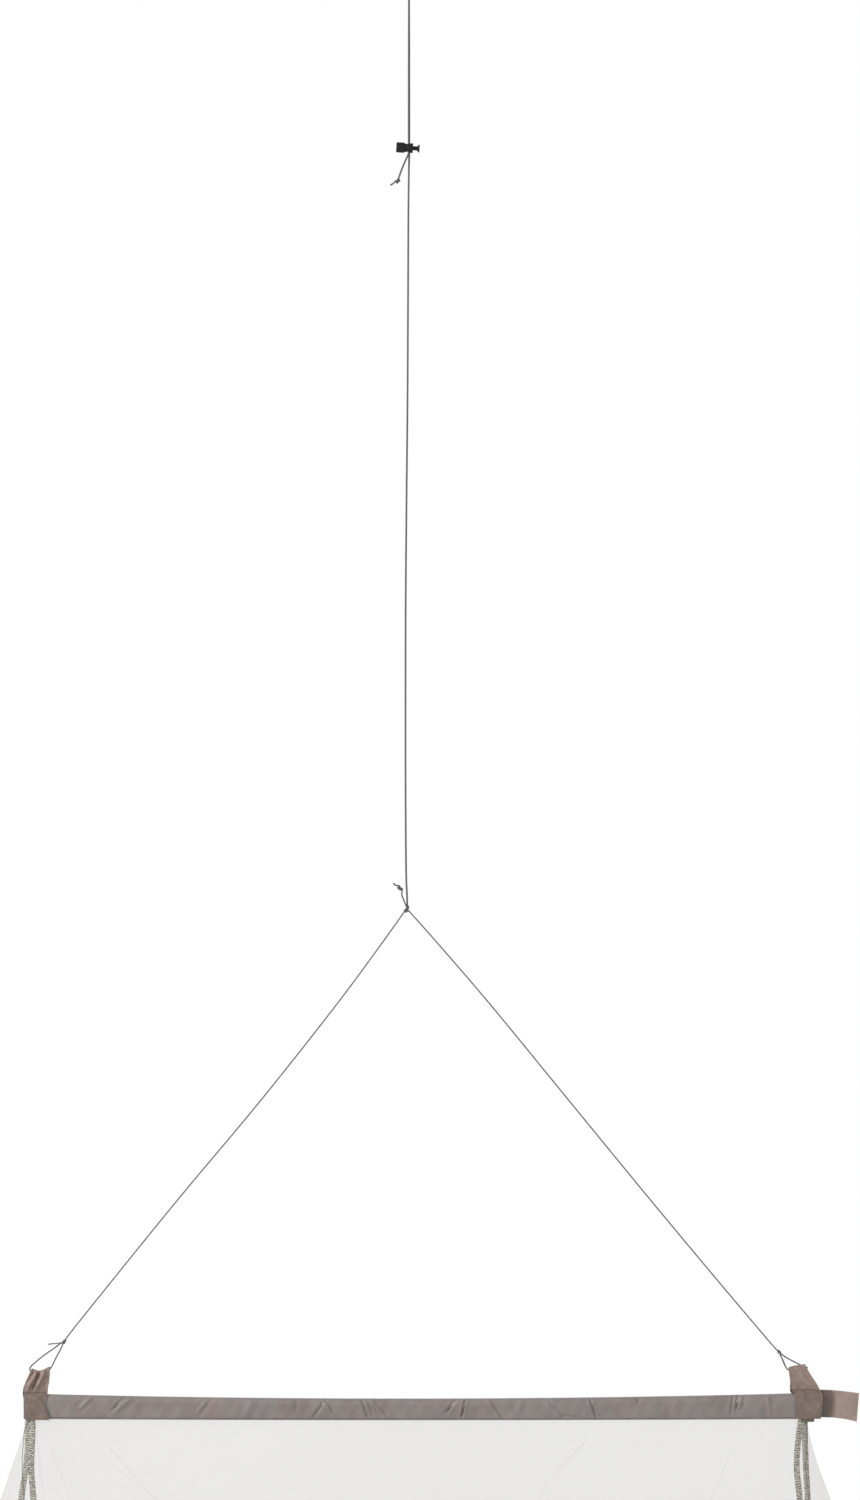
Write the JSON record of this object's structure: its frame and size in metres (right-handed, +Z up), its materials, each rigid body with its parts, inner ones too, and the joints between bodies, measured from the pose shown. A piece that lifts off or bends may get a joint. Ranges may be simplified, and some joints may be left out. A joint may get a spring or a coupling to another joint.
{
  "type": "mosquito net canopy with its spreader bar",
  "caption": "Sheer net canopy hung from a spreader bar in a cloth sleeve, with a cord bridle and a cord lock on its hanging cord.",
  "frame": {"origin": "the point on which a hook carries the cord's top loop", "axes": "+Z up, +X along the spreader bar towards its closing flap, -Y the front"},
  "size_m": [1.6702, 0.9313, 2.8781],
  "materials": {
    "cord": "fine braided polyester cord, dark grey",
    "lock": "moulded black plastic with a fine satin texture",
    "webbing": "woven taupe webbing with a faint satin sheen",
    "sleeve": "plain-woven grey-taupe polyester",
    "rod": "plain fibreglass rod",
    "net": "fine sheer polyester netting, pale grey",
    "seam": "overlocked seam in olive-grey thread"
  },
  "bodies": {
    "canopy": {"main_cord": "cord", "bridle_cord": "cord", "y_knot": "cord", "left_knot": "cord", "right_knot": "cord", "tail_knot": "cord", "lock_barrel": "lock", "tab_left": "webbing", "tab_right": "webbing", "flap": "webbing", "flap_stub": "webbing", "sleeve": "sleeve", "spreader_rod": "rod", "net_front": "net", "net_back": "net", "net_end_left": "net", "net_end_right": "net", "seam_front_left": "seam", "seam_back_left": "seam", "seam_front_right": "seam", "seam_back_right": "seam"},
    "plunger": {"lock_plunger": "lock"}
  },
  "joints": [
    {"name": "plunger_press", "type": "slide", "parent": "canopy", "child": "plunger", "axis": [-0.9982, 0, 0.0593], "range_m": [0, 0.0015], "stiffness_N_per_m": 1000, "springref_m": -0.003}
  ]
}
